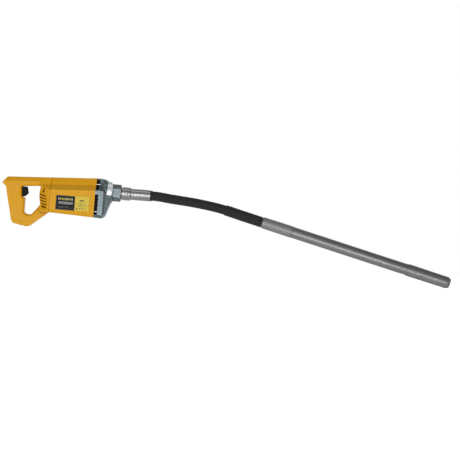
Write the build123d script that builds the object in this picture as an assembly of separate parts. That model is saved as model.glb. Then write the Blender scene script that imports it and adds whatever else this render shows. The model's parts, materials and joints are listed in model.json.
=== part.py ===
from build123d import *
import math
import os

# Handheld electric concrete vibrator, all sizes in millimetres.
# The origin is the centre of the rear hand grip. +X runs forward along the motor axis, +Z is up in
# the plane of the D-handle, and +Y is to the left. The hose leaves the nose along +X and droops
# to the vibrating head, whose axis dips below X by HEAD_DIP.

os.makedirs("parts", exist_ok=True)

# ---- driving dimensions -------------------------------------------------------------------------
MOTOR_Z = 13.4            # height of the motor axis above the grip centre
GEAR_MODULE = 1.25
PINION_TEETH = 17
GEAR_TEETH = 28
GEAR_DISTANCE = GEAR_MODULE * (PINION_TEETH + GEAR_TEETH) / 2
SPINDLE_Z = MOTOR_Z + GEAR_DISTANCE

HANDLE_FRONT = 98.0       # plane where the handle meets the motor housing
HOUSING_FRONT = 228.0     # front edge of the motor housing
CASING_BACK = 238.0       # rear face of the gear casing flange
CASING_NOSE = 277.0       # front face of the gear casing nose
FERRULE_END = 385.0       # where the hose leaves its ferrule
TOP_AT_GRIP = 65.2        # height of the top edge above the origin
TOP_RISE = 0.0606         # rise of the top edge for each millimetre forward

HANDLE_HALF_WIDTH = 19.5
HOUSING_HALF_WIDTH = 45.0
MOTOR_BORE_R = 41.0       # inside of the motor housing
WALL = 4.0                # moulded wall of the handle halves
SEAM = 1.2                # width and depth of the groove where the handle meets the housing

HOSE_R = 13.8
HOSE_BORE_R = 8.5
LINER_R = 7.6
LINER_BORE_R = 5.4
FLEX_R = 4.4
GUARD_R = 15.5

HEAD_DIP = 13.3           # degrees
SLEEVE_LENGTH = 90.0
TUBE_LENGTH = 352.0
TIP_LENGTH = 130.0
TUBE_R = 16.5
TIP_R = 18.1

FIT = 0.05                # radial room of parts that are pressed or bolted together
RUN = 0.08                # radial room of a running shaft
GAP = 0.3                 # room between parts that move past each other

# Corner screws through the gear casing into the housing, as (Y, Z).
CASING_SCREWS = [(15, 61.8), (-15, 61.8), (34, -17), (-34, -17)]
HOUSING_SCREWS = [(13, 56), (-13, 56), (33, -15), (-33, -15)]
HANDLE_SCREWS = [(-24, 48), (-6, -48), (34, -60), (66, -40), (50, 49.5)]  # (X, Z)

# Hose centreline, as (X, Z) corners. The rear and front spans meet on the straight between them,
# and the last bend lies on the head's axis.
HEAD_START = (715.0, -8.2)
LAST_BEND_BACK = 61.0
DIP_COS = math.cos(math.radians(HEAD_DIP))
DIP_SIN = math.sin(math.radians(HEAD_DIP))
LAST_BEND = (HEAD_START[0] - LAST_BEND_BACK * DIP_COS, HEAD_START[1] + LAST_BEND_BACK * DIP_SIN)
HOSE_REAR_ROUTE = [(FERRULE_END, SPINDLE_Z), (407, SPINDLE_Z), (447, 36.9), (512, 32.5)]
HOSE_FRONT_ROUTE = [(590, 22.4), LAST_BEND, HEAD_START]
SPLIT_AT = 0.49           # place of the split on the straight from the last rear corner
GUARD_START_AT = 0.2      # places of the guard's ends on the two front straights
GUARD_END_AT = 0.98

BASE = (Align.CENTER, Align.CENTER, Align.MIN)
CORNER = (Align.MIN, Align.MIN, Align.MIN)


# ---- helpers ------------------------------------------------------------------------------------
def between(a, b, t):
    return (a[0] + (b[0] - a[0]) * t, a[1] + (b[1] - a[1]) * t)


def bar(x0, x1, radius, z, y=0.0):
    """A round bar along X."""
    return Pos(x0, y, z) * Rot(0, 90, 0) * Cylinder(radius, x1 - x0, align=BASE)


def cone(x0, x1, r0, r1, z):
    """A cone along X."""
    return Pos(x0, 0, z) * Rot(0, 90, 0) * Cone(r0, r1, x1 - x0, align=BASE)


def ring(x0, x1, r_out, r_in, z, y=0.0):
    """A round tube along X."""
    return bar(x0, x1, r_out, z, y) - bar(x0 - 1, x1 + 1, r_in, z, y)


def block(x, y, z):
    """A box from three (low, high) pairs."""
    return Pos(x[0], y[0], z[0]) * Box(x[1] - x[0], y[1] - y[0], z[1] - z[0], align=CORNER)


def slab_xz(points, half_width):
    """A prism of an (X, Z) outline, the same width each side of the centre plane."""
    return extrude(Plane.XZ * Polygon(*points, align=None), half_width, both=True)


def slab_xy(points, z0, z1):
    """A prism of an (X, Y) outline from z0 up to z1."""
    return Pos(0, 0, z0) * extrude(Polygon(*points, align=None), z1 - z0, dir=(0, 0, 1))


def section_face(x, half_points):
    """A face across X, from the (Y, Z) points of its right half, top first."""
    plane = Plane(origin=(x, 0, 0), x_dir=(0, 1, 0), z_dir=(1, 0, 0))
    mirrored = [(-y, z) for y, z in reversed(half_points)]
    return plane * Polygon(*half_points, *mirrored, align=None)


def top_at(x):
    return TOP_AT_GRIP + TOP_RISE * x


def body_section(x, top, bottom, inset=0.0):
    """Cross-section shared by the housing and the casing: a narrow spine on broad shoulders."""
    wide = HOUSING_HALF_WIDTH - inset
    return section_face(x, [
        (12 - inset / 2, top), (21 - inset / 2, top - 15), (22.5 - inset / 2, top - 20.5),
        (wide, top - 35.5 - inset / 2), (wide, bottom + 9), (wide - 9, bottom),
    ])


def across_y(y0, y1, radius, x, z):
    """A round bar along Y."""
    return Pos(x, y0, z) * Rot(-90, 0, 0) * Cylinder(radius, y1 - y0, align=BASE)


def head(shape, at):
    """Places a shape built on +Z along the head's axis, at a distance from the head's start."""
    x = HEAD_START[0] + at * DIP_COS
    z = HEAD_START[1] - at * DIP_SIN
    return Pos(x, 0, z) * Rot(0, 90 + HEAD_DIP, 0) * shape


def head_bar(h0, h1, radius):
    return head(Cylinder(radius, h1 - h0, align=BASE), h0)


def head_ring(h0, h1, r_out, r_in):
    return head_bar(h0, h1, r_out) - head_bar(h0 - 1, h1 + 1, r_in)


def gear_face(teeth, module, backlash=0.1):
    """Involute spur gear outline with one tooth centred on +X."""
    pressure = math.radians(20)
    pitch_r = module * teeth / 2
    base_r = pitch_r * math.cos(pressure)
    root_r = pitch_r - 1.25 * module
    tip_r = pitch_r + module
    involute_at_pitch = math.tan(pressure) - pressure
    half_at_pitch = math.pi / (2 * teeth) - backlash / (2 * pitch_r)
    steps = 6
    flank = []
    for i in range(steps + 1):
        r = max(base_r, root_r) + (tip_r - max(base_r, root_r)) * i / steps
        angle = math.acos(min(1.0, base_r / r))
        flank.append((r, half_at_pitch + involute_at_pitch - (math.tan(angle) - angle)))
    points = []
    for tooth in range(teeth):
        centre = 2 * math.pi * tooth / teeth
        side = [(root_r, flank[0][1])] + flank
        for r, half in side:
            points.append((r * math.cos(centre - half), r * math.sin(centre - half)))
        for r, half in reversed(side):
            points.append((r * math.cos(centre + half), r * math.sin(centre + half)))
    return Polygon(*points, align=None)


def gear(x0, x1, teeth, z, bore):
    blank = extrude(gear_face(teeth, GEAR_MODULE), x1 - x0)
    return Pos(x0, 0, z) * Rot(0, 90, 0) * blank - bar(x0 - 1, x1 + 1, bore, z)


def tangent_path(points, label):
    """Straight runs joined by the largest even arcs; points are (X, Z). Prints the radii."""
    corners = [Vector(x, 0, z) for x, z in points]
    radii = []
    for a, b, c in zip(corners, corners[1:], corners[2:]):
        turn = (b - a).get_angle(c - b)
        shorter = min((b - a).length, (c - b).length)
        radii.append(0.45 * shorter / math.tan(math.radians(turn) / 2))
    print(label, "radii", [round(r) for r in radii])
    return FilletPolyline(*corners, radius=radii)


def hose_tube(points, r_out, r_in, label):
    """A tube along a route; its volume is printed beside section times length."""
    path = tangent_path(points, label)
    start = Plane(origin=path @ 0, z_dir=path % 0)
    outer = sweep(start * Circle(r_out), path=path)
    expected = math.pi * r_out ** 2 * path.length
    print(label, "length", round(path.length, 1), "volume ratio", round(outer.volume / expected, 4))
    if r_in == 0:
        return outer
    return outer - sweep(start * Circle(r_in), path=path)


def wire(points, radius, label):
    """A thin lead along (X, Y, Z) points with even arcs at its corners."""
    corners = [Vector(*p) for p in points]
    radii = []
    for a, b, c in zip(corners, corners[1:], corners[2:]):
        turn = (b - a).get_angle(c - b)
        shorter = min((b - a).length, (c - b).length)
        radii.append(0.45 * shorter / math.tan(math.radians(turn) / 2))
    path = FilletPolyline(*corners, radius=radii)
    lead = sweep(Plane(origin=path @ 0, z_dir=path % 0) * Circle(radius), path=path)
    expected = math.pi * radius ** 2 * path.length
    print(label, "length", round(path.length, 1), "volume ratio", round(lead.volume / expected, 4))
    return lead


# ---- handle -------------------------------------------------------------------------------------
HANDLE_OUTLINE = [
    (-29.7, top_at(-29.7)), (-44.3, 45.4), (-32.3, 35.4), (-24.8, 1.0), (-16.8, -30.9),
    (-10.2, -60), (-4, -69.4), (36, -76.3), (42.3, -74.9), (96, -29.9), (HANDLE_FRONT, -30),
    (HANDLE_FRONT, top_at(HANDLE_FRONT)),
]
HAND_OPENING = [
    (13, 38.8), (68.7, 43.8), (66.3, 26.2), (66.6, 11.1), (70.9, -9.8), (46.3, -40.9),
    (31.7, -40.3), (24.3, -35.6), (24.3, 4.8), (15.5, 9.5),
]
INLET_TILT = 9.8         # degrees: the underside of the grip, which holds the cable inlet, slopes
INLET_AT = (15.5, -72.8)
FLARE_START = 64.0
BLOCK_HALF_WIDTH = 44.6


def handle_section(x):
    """Top edges of the grip frame: a chamfered ridge on upright sides."""
    top = top_at(x)
    return section_face(x, [(11, top), (HANDLE_HALF_WIDTH, top - 13), (HANDLE_HALF_WIDTH, -100)])


def grip_frame():
    outline = Polygon(*HANDLE_OUTLINE, align=None)
    outline = fillet(outline.vertices().filter_by_position(Axis.X, -33, 43), 5)
    opening = fillet(Polygon(*HAND_OPENING, align=None).vertices(), 4)
    frame = extrude(Plane.XZ * (outline - opening), HANDLE_HALF_WIDTH, both=True)
    sides = frame.edges().filter_by(lambda e: abs(abs(e.center().Y) - HANDLE_HALF_WIDTH) < 0.01)
    inner = sides.filter_by(lambda e: inside_opening(e.center()))
    frame = fillet(inner, 8)
    envelope = loft([handle_section(-60), handle_section(HANDLE_FRONT)], ruled=True)
    return frame & envelope


def inside_opening(p):
    return 12 < p.X < 72 and -42 < p.Z < 45 and p.X - 72 < (p.Z + 9) * 0.79


def front_block():
    """The broad front of the handle, flared from the grip frame to the housing's full width."""
    shell = loft([body_section(FLARE_START, top_at(FLARE_START), -32),
                  body_section(HANDLE_FRONT, top_at(HANDLE_FRONT), -30)], ruled=True)
    plan = slab_xy([(FLARE_START, -HANDLE_HALF_WIDTH), (FLARE_START, HANDLE_HALF_WIDTH),
                    (94, BLOCK_HALF_WIDTH), (HANDLE_FRONT, HOUSING_HALF_WIDTH),
                    (HANDLE_FRONT, -HOUSING_HALF_WIDTH), (94, -BLOCK_HALF_WIDTH)], -100, 100)
    side = slab_xz([(FLARE_START, 90), (68.7, 43.8), (66.3, 26.2), (66.6, 11.1), (70.9, -9.8),
                    (66, -16), (70, -51.7), (96, -29.9), (HANDLE_FRONT, -30), (HANDLE_FRONT, 90)], 60)
    return shell & plan & side


def vent_slots():
    """Five air slots each side, sloping down to the front and open to the hand opening."""
    slots = []
    for i in range(5):
        x = 66.5 + 2.1 * i
        z = 20.6 - 8.6 * i
        length = 21.5 - 0.7 * i
        for side in (-1, 1):
            slot = Box(length, 40, 3.0, align=(Align.MIN, Align.CENTER, Align.CENTER))
            slots.append(Pos(x, side * 33, z) * Rot(0, 15, 0) * slot)
    recess = slab_xz([(75.5, 25.5), (81.5, 25.5), (81, 40), (78.5, 40)], 60)
    keep = slab_xy([(FLARE_START, -16.5), (FLARE_START, 16.5), (98, 40), (98, -40)], 0, 60)
    return slots + [recess - keep]


def handle_cavity():
    """Hollow inside of the handle: the frame's tunnel and the air space of the front block, where a
    web on the parting plane keeps the air slots of the two sides apart."""
    outer = offset(Polygon(*HANDLE_OUTLINE, align=None), -WALL)
    hole = offset(Polygon(*HAND_OPENING, align=None), WALL + 1)
    tunnel = extrude(Plane.XZ * (outer - hole), HANDLE_HALF_WIDTH - WALL, both=True)
    ridge_room = loft([section_face(x, [(7, top_at(x) - 5), (HANDLE_HALF_WIDTH - WALL, top_at(x) - 17),
                                        (HANDLE_HALF_WIDTH - WALL, -100)])
                       for x in (-60, HANDLE_FRONT + 1)], ruled=True)
    tunnel = tunnel & ridge_room
    lobby = slab_xy([(72, -15), (72, 15), (94, 38), (99, 40), (99, -40), (94, -38)], -23, 31)
    mouth = block((92, 99), (-8, 8), (44, 60))
    room = tunnel + lobby + mouth
    for x, z in HANDLE_SCREWS:
        room -= across_y(-30, 30, 5.6, x, z)
    for y, z in HOUSING_SCREWS:
        room -= bar(84, 99, 5.4, z, y)
    room -= inlet(Cylinder(12.5, 24.8))
    return room - block((64, 91), (-1.6, 1.6), (-40, 31))


def handle_holes():
    """Everything cut through the handle: screws, trigger slot, inlet, switch and air slots."""
    cuts = vent_slots()
    for x, z in HANDLE_SCREWS:
        cuts.append(across_y(-14, 30, 2.0 + FIT, x, z))
        cuts.append(across_y(11, 30, 4.2, x, z))
    for y, z in HOUSING_SCREWS:
        cuts.append(bar(84, 99, 2.0 + FIT, z, y))
        cuts.append(bar(75, 90, 4.3, z, y))
    cuts.append(block((3.2, 30), (-9.4, 9.4), (6.6, 38.8)))
    cuts.append(block((-20.4, 4), (-10.3, 10.3), (8.0, 40.4)))
    cuts.append(across_y(8, 30, 4.3 + GAP, *LOCK_AT))
    cuts.append(inlet(Cylinder(7.0 + FIT, 40)))
    cuts.append(inlet(Pos(0, 0, 7) * Cylinder(9.5 + FIT, 4.1)))
    return cuts


def handle_shells():
    solid = grip_frame() + front_block()
    solid = solid - handle_cavity()
    solid = solid - handle_holes()
    right = solid & block((-60, 110), (-60, 0), (-100, 100))
    left = solid & block((-60, 110), (0, 60), (-100, 100))
    return right, left


def inlet(shape):
    """Places a shape built on +Z so that -Z points out of the cable inlet."""
    return Pos(INLET_AT[0], 0, INLET_AT[1]) * Rot(0, INLET_TILT, 0) * shape


def screw_y(x, z):
    """A handle screw: the head is sunk in the left half and the thread ends in the right half."""
    screw = across_y(-12.5, 11, 2.0, x, z) + across_y(11, 14, 3.8, x, z)
    return screw - block((x - 2.8, x + 2.8), (12.6, 15), (z - 0.5, z + 0.5))


def screw_x(x0, x1, y, z, head_at_front):
    """A cap screw along X with a socket in its head."""
    if head_at_front:
        return bar(x0, x1, 2.5, z, y) + (bar(x1, x1 + 4.5, 4.4, z, y) - bar(x1 + 2, x1 + 6, 2.1, z, y))
    return bar(x0, x1, 2.0, z, y) + (bar(x0 - 3.5, x0, 3.9, z, y) - bar(x0 - 5, x0 - 1.5, 1.7, z, y))


LOCK_AT = (-4.0, 27.0)    # lock-on button on the left side, as (X, Z)
SPRING_SEAT = -4.0        # X of the trigger spring's seat in the switch
TRIGGER_OUTLINE = [(11, 11.5), (11, 38.2), (28.6, 38.4), (33.4, 19.6), (24.1, 10), (17, 9.6)]


def trigger():
    shape = slab_xz(TRIGGER_OUTLINE, 9.0)
    front = shape.edges().filter_by(lambda e: abs(abs(e.center().Y) - 9) < 0.01 and e.center().X > 20)
    shape = fillet(front, 3.0)
    stem = bar(5.0, 11, 2.4, 24)
    return shape + stem


def switch_body():
    body = block((-20, 3.6), (-10, 10), (8.4, 40))
    return body - bar(-12, 5, 2.4 + GAP, 24) - bar(SPRING_SEAT, 5, 4.4 + GAP, 24)


def cable_gland():
    body = Pos(0, 0, 4.75) * Cylinder(7.0, 11.5) + Pos(0, 0, 7) * Cylinder(9.5, 4.0)
    return inlet(body - Cylinder(4.6, 60))


def cable_clamp():
    """Saddle that grips the cable just inside the gland, with its two screws' holes."""
    saddle = Pos(0, 0, 15) * Box(14, 24, 4.8) - Pos(0, 0, 15) * Cylinder(4.7, 10)
    for y in (-8.5, 8.5):
        saddle -= Pos(0, y, 15) * Cylinder(1.5, 10)
    return inlet(saddle)


# ---- motor --------------------------------------------------------------------------------------
def housing_bottom(x):
    return -30 - 4.3 * (x - HANDLE_FRONT) / 131


def motor_housing():
    ends = (HANDLE_FRONT + SEAM, HOUSING_FRONT)
    shell = loft([body_section(x, top_at(x), housing_bottom(x)) for x in ends], ruled=True)
    shell += loft([body_section(x, top_at(x) - SEAM, housing_bottom(x) + SEAM, inset=SEAM)
                   for x in (HANDLE_FRONT, ends[0])], ruled=True)
    shell -= bar(HANDLE_FRONT + 9, HOUSING_FRONT + 1, MOTOR_BORE_R, MOTOR_Z)
    shell -= block((HANDLE_FRONT - 1, HOUSING_FRONT + 1), (-8, 8), (48, 60))
    shell -= bar(HANDLE_FRONT + 1.5, HANDLE_FRONT + 10, 11 + FIT, MOTOR_Z)
    shell -= bar(HANDLE_FRONT - 1, HANDLE_FRONT + 2, 6, MOTOR_Z)
    for angle in range(0, 360, 60):
        shell -= wall_slot(angle)
    for y, z in CASING_SCREWS:
        shell -= bar(204, HOUSING_FRONT + 1, 2.5 + FIT, z, y)
    for y, z in HOUSING_SCREWS:
        shell -= bar(HANDLE_FRONT - 1, 115, 2.0 + FIT, z, y)
    return shell


def wall_slot(angle):
    """An air hole through the bearing wall at the housing's rear."""
    y = 25 * math.cos(math.radians(angle))
    z = MOTOR_Z + 25 * math.sin(math.radians(angle))
    return bar(HANDLE_FRONT - 1, HANDLE_FRONT + 11, 7.5, z, y)


def sector(x0, x1, r_out, r_in, half_angle, upward):
    """Part of a ring about the motor axis, centred on straight up or straight down."""
    reach = 60
    turn = 1 if upward else -1
    edge = (reach * math.sin(math.radians(half_angle)), reach * math.cos(math.radians(half_angle)))
    plane = Plane(origin=(x0, 0, MOTOR_Z), x_dir=(0, 1, 0), z_dir=(1, 0, 0))
    wedge = Polygon((0, 0), (-edge[0], turn * edge[1]), (-edge[0], turn * reach),
                    (edge[0], turn * reach), (edge[0], turn * edge[1]), align=None)
    return ring(x0, x1, r_out, r_in, MOTOR_Z) & extrude(plane * wedge, x1 - x0, dir=(1, 0, 0))


STATOR = (148.0, 203.0)


def stator_core():
    core = ring(*STATOR, 40.9, 34.0, MOTOR_Z)
    for up in (True, False):
        core += sector(*STATOR, 34.5, 22.6, 27, up)
        core += sector(*STATOR, 26.6, 22.6, 58, up)
    return core


def field_coils():
    coils = []
    for up in (True, False):
        coil = sector(STATOR[0] - 9, STATOR[1] + 9, 33.6, 27.0, 60, up)
        coil -= sector(STATOR[0] - 0.3, STATOR[1] + 0.3, 35, 26, 28.5, up)
        coils.append(coil)
    return Compound(coils)


def brush_gear():
    holders, brushes, springs = [], [], []
    for side in (-1, 1):
        low, high = sorted((side * 17.0, side * 39.6))
        tube_y = (low, high)
        holder = block((115, 129), tube_y, (MOTOR_Z - 6, MOTOR_Z + 6))
        low, high = sorted((side * 16.0, side * 36.5))
        holder -= block((117.5, 126.5), (low, high), (MOTOR_Z - 4, MOTOR_Z + 4))
        holders.append(holder)
        low, high = sorted((side * 14.3, side * 29.0))
        brushes.append(block((117.8, 126.2), (low, high), (MOTOR_Z - 3.7, MOTOR_Z + 3.7)))
        low, high = sorted((side * 29.2, side * 36.3))
        spring = across_y(low, high, 3.0, 122, MOTOR_Z) - across_y(low - 1, high + 1, 2.2, 122, MOTOR_Z)
        springs.append(spring)
    return Compound(holders), Compound(brushes), Compound(springs)


def armature_shaft():
    shaft = bar(HANDLE_FRONT + 2.5, 109, 4 - RUN, MOTOR_Z) + bar(109, 236, 6, MOTOR_Z)
    return shaft + bar(236, 245, 6 - RUN, MOTOR_Z) + bar(245, 262, 5, MOTOR_Z)


def armature_core():
    core = ring(STATOR[0] - 1, STATOR[1] + 1, 21.9, 6 + FIT, MOTOR_Z)
    for i in range(12):
        slot = Pos(STATOR[0] - 5, 0, MOTOR_Z) * Rot(30 * i, 0, 0) * Pos(0, 0, 13.5)
        core -= slot * Box(70, 3.6, 9.5, align=(Align.MIN, Align.CENTER, Align.MIN))
    return core


def armature_windings():
    coils = ring(138, STATOR[0] - 1.1, 19.5, 6.2, MOTOR_Z) + ring(STATOR[1] + 1.1, 213, 19.5, 6.2, MOTOR_Z)
    for i in range(12):
        slot = Pos(145, 0, MOTOR_Z) * Rot(30 * i, 0, 0) * Pos(0, 0, 13.7)
        coils += slot * Box(61, 3.2, 5.6, align=(Align.MIN, Align.CENTER, Align.MIN))
    return coils


def commutator():
    drum = ring(113, 132, 14, 6 + FIT, MOTOR_Z)
    for i in range(24):
        groove = Pos(112, 0, MOTOR_Z) * Rot(15 * i, 0, 0) * Pos(0, 0, 13)
        drum -= groove * Box(17, 0.5, 3, align=(Align.MIN, Align.CENTER, Align.MIN))
    return drum


def cooling_fan():
    fan = ring(217, 234, 12, 6 + FIT, MOTOR_Z) + ring(232, 234, 37, 6 + FIT, MOTOR_Z)
    for i in range(14):
        blade = Pos(218.5, 0, MOTOR_Z) * Rot(360 / 14 * i, 0, 0) * Pos(0, 0, 11) * Rot(12, 0, 0)
        fan += blade * Box(14, 2.0, 25, align=(Align.MIN, Align.CENTER, Align.MIN))
    return fan


def air_baffle():
    """Ring that leads the air into the fan, with the black shroud that fills the outlet gap and
    leaves the casing screws bare."""
    baffle = ring(214.3, 216.5, 40.7, 27, MOTOR_Z) + ring(216, 237.7, 40.7, 39.9, MOTOR_Z)
    for side in (-1, 1):
        grille = block((228.3, 237.7), (40.3, 42), (-12.4, 32.2))
        for z in (-9, -0.5, 8, 16.5, 25):
            grille -= block((229.8, 236.4), (30, 50), (z, z + 3))
            baffle -= block((229.8, 236.4), sorted((side * 30, side * 50)), (z, z + 3))
        baffle += grille if side > 0 else mirror(grille, Plane.XZ)
    spine = loft([body_section(228.3, top_at(HOUSING_FRONT), housing_bottom(HOUSING_FRONT), inset=3),
                  body_section(237.7, 79.4, -34.6, inset=3)], ruled=True)
    spine &= block((228, 238), (-60, 60), (47.3, 75.9))
    baffle += spine - bar(220, 240, 39.9, MOTOR_Z)
    for y, z in CASING_SCREWS[:2]:
        baffle -= block((220, 240), sorted((math.copysign(11.8, y), math.copysign(30, y))), (z - 4, z + 4))
    return baffle - plate_outline(235.7, 240, 0.3)


# ---- gear casing --------------------------------------------------------------------------------
def plate_outline(x0, x1, grow):
    return bar(x0, x1, 35 + grow, MOTOR_Z) + bar(x0, x1, 22.3 + grow, SPINDLE_Z)


def gear_room(x0, x1):
    return bar(x0, x1, 20.6, SPINDLE_Z) + bar(x0, x1, 14.0, MOTOR_Z)


def gear_casing():
    """Cast casing: a flange like the housing's section, a nose barrel and a sloping web."""
    flange = loft([body_section(CASING_BACK, 79.4, -34.6), body_section(251.5, 77.8, -35.2)], ruled=True)
    flange += loft([body_section(251.5, 77.8, -35.2), body_section(258.5, 74.5, -29, inset=6)], ruled=True)
    web = slab_xz([(250, -30), (257, -30), (259, -28.0), (274.4, 17.5), (275.8, 30), (250, 60)], 40)
    web &= slab_xy([(250, -33), (250, 33), (277, 21), (277, -21)], -60, 80)
    casing = flange + web
    casing += cone(250, 273.5, 34.6, 32.0, SPINDLE_Z) + cone(273.5, CASING_NOSE, 32.0, 28.0, SPINDLE_Z)
    casing += bar(CASING_NOSE, 292, 18.5, SPINDLE_Z)
    casing += spacer_ring()
    casing -= plate_outline(CASING_BACK - 1, 244.3, 0.2)
    casing -= gear_room(240, 261.5)
    casing -= bar(250, 265.0, 13.0, MOTOR_Z)
    casing -= bar(250, 273.5, 17.5 + FIT, SPINDLE_Z)
    casing -= bar(250, CASING_NOSE + 1, 14.0 + FIT, SPINDLE_Z)
    casing -= bar(250, 300, 13.2, SPINDLE_Z)
    for y, z in CASING_SCREWS:
        seat = screw_seat(z)
        casing -= bar(220, 300, 2.5 + FIT, z, y)
        casing -= bar(seat, 300, 4.9, z, y)
    return casing


def screw_seat(z):
    """Where a casing screw's head sits: deep in the barrel above, on the flange below."""
    return 266.0 if z > MOTOR_Z else 252.0


def spacer_ring():
    """Lugs that hold the flange off the housing and leave the air outlet windows."""
    wall = loft([body_section(HOUSING_FRONT + 0.05, top_at(HOUSING_FRONT), housing_bottom(HOUSING_FRONT)),
                 body_section(CASING_BACK, 79.4, -34.6)], ruled=True)
    wall -= bar(220, 240, MOTOR_BORE_R, MOTOR_Z)
    wall -= block((220, 240), (-30, 30), (47, 76.2))
    wall -= block((220, 240), (-60, 60), (47, 76.2))
    return wall - block((220, 240), (-60, 60), (-25.5, 32.5))


def casing_gasket():
    return plate_outline(243.5, 244.2, 0) - gear_room(240, 250)


def bearing_plate():
    plate = plate_outline(236, 243.4, 0)
    plate -= bar(235, 250, 14 + FIT, MOTOR_Z) + bar(237.5, 250, 11 + FIT, SPINDLE_Z)
    return plate


def casing_screws():
    return Compound([screw_x(206, screw_seat(z), y, z, True) for y, z in CASING_SCREWS])


def housing_screws():
    return Compound([screw_x(90, 112, y, z, False) for y, z in HOUSING_SCREWS])


def bearing(x0, x1, r_out, r_in, z):
    """A sealed ball bearing, with the step between its rings and shields."""
    race = ring(x0, x1, r_out, r_in, z)
    mid = (r_out + r_in) / 2
    half = (r_out - r_in) * 0.24
    for low, high in ((x0 - 1, x0 + 0.5), (x1 - 0.5, x1 + 1)):
        race -= ring(low, high, mid + half, mid - half, z)
    return race


def output_spindle():
    spindle = bar(238, 245, 4 - RUN, SPINDLE_Z) + bar(245, 262, 7, SPINDLE_Z)
    spindle += bar(262, 278, 7.5 - RUN, SPINDLE_Z) + bar(278, 290, 9, SPINDLE_Z)
    spindle -= block((248.9, 257.6), (-1.55, 1.55), (SPINDLE_Z + 5.1, SPINDLE_Z + 9))
    return spindle - bar(276, 300, FLEX_R + GAP, SPINDLE_Z)


def spindle_key():
    return block((249, 257.5), (-1.5, 1.5), (SPINDLE_Z + 5.2, SPINDLE_Z + 8.6))


def spindle_gear():
    wheel = gear(246.5, 260, GEAR_TEETH, SPINDLE_Z, 7 + FIT)
    return wheel - block((240, 270), (-1.55, 1.55), (SPINDLE_Z, SPINDLE_Z + 8.7))


# ---- hose connection ----------------------------------------------------------------------------
def union_nut():
    plane = Plane(origin=(CASING_NOSE + GAP, 0, SPINDLE_Z), x_dir=(0, 1, 0), z_dir=(1, 0, 0))
    hexagon = extrude(plane * RegularPolygon(24.8, 6, rotation=30), 23.2, dir=(1, 0, 0))
    turned = cone(274, 281, 20.5, 26.5, SPINDLE_Z) + bar(281, 297, 26.5, SPINDLE_Z)
    turned += cone(297, 301.5, 26.5, 20.5, SPINDLE_Z)
    nut = hexagon & turned
    nut -= bar(270, 298.3, 18.5 + GAP, SPINDLE_Z)
    return nut - bar(270, 302, 15.8, SPINDLE_Z)


def hose_connector():
    """Steel stem: a collar that the union nut draws in, then a barb inside the hose."""
    stem = bar(292.3, 298, 18.2, SPINDLE_Z) + bar(298, 328.5, 14.5, SPINDLE_Z)
    stem += bar(328.5, 376, HOSE_BORE_R - FIT, SPINDLE_Z)
    for x in (338, 347, 356, 365):
        stem -= ring(x, x + 1.2, 10, HOSE_BORE_R - 0.6, SPINDLE_Z)
    return stem - bar(280, 380, LINER_R + 0.1, SPINDLE_Z)


def adapter_body():
    """Round steel body screwed on the stem, with a groove before its rounded shoulder."""
    body = ring(302.8, 328.5, 19.5, 14.5 + FIT, SPINDLE_Z)
    body = fillet(body.edges().filter_by(GeomType.CIRCLE).filter_by(
        lambda e: abs(e.center().X - 328.5) < 0.1 and e.radius > 18), 3)
    return body - ring(319.5, 321, 25, 18.8, SPINDLE_Z)


def hose_ferrule():
    sleeve = ring(330.2, FERRULE_END, 16.6, HOSE_R + FIT, SPINDLE_Z)
    end = ring(328.7, 332.5, 16.6, HOSE_BORE_R + FIT, SPINDLE_Z)
    return sleeve + end


# ---- vibrating head -----------------------------------------------------------------------------
def head_sleeve():
    body = head(Cone(16.6, 17.2, SLEEVE_LENGTH, align=BASE), 0)
    body += head_bar(SLEEVE_LENGTH - 1, SLEEVE_LENGTH + 15, 13.5 - FIT)
    body -= head_bar(-1, 26, HOSE_R + 0.2)
    return body - head_bar(0, SLEEVE_LENGTH + 20, 9.0)


def head_tube():
    start = SLEEVE_LENGTH + 0.8
    return head_ring(start, SLEEVE_LENGTH + TUBE_LENGTH, TUBE_R, 13.5)


def o_ring():
    start = SLEEVE_LENGTH + 0.05
    return head_ring(start, start + 0.7, 16.1, 13.6)


def head_tip():
    start = SLEEVE_LENGTH + TUBE_LENGTH
    straight = TIP_LENGTH - 12
    tip = head(Cone(TIP_R, 17.4, straight, align=BASE), start + 0.05)
    dome = head(Sphere(17.4), start + straight) & head_bar(start + straight - 5, start + straight + 12, 18)
    tip += dome
    tip += head_bar(start - 14, start + 1, 13.5 - FIT)
    return tip - head_bar(start - 20, start + 70, 9.5)


def eccentric_rotor():
    """Rotor shaft with a half-round weight, which hangs on its heavy side at rest."""
    shaft = head_bar(96, 424, 5 - RUN)
    weight = head_bar(138, 396, 11.6)
    lower = head(Pos(20, 0, 0) * Box(40, 60, 600), 270)
    return shaft + (weight & lower)


def head_bearing(h0, h1):
    race = head_ring(h0, h1, 13.5 - FIT, 5.0)
    for low, high in ((h0 - 1, h0 + 0.5), (h1 - 0.5, h1 + 1)):
        race -= head_ring(low, high, 11.0, 7.5)
    return race


def rotor_coupling():
    body = head_bar(72, 96, 8.2) + head_bar(96, 104, 7.6)
    body -= head_bar(60, 86, FLEX_R + GAP)
    return body - head_bar(90, 110, 5 - RUN + 0.02)


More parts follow.
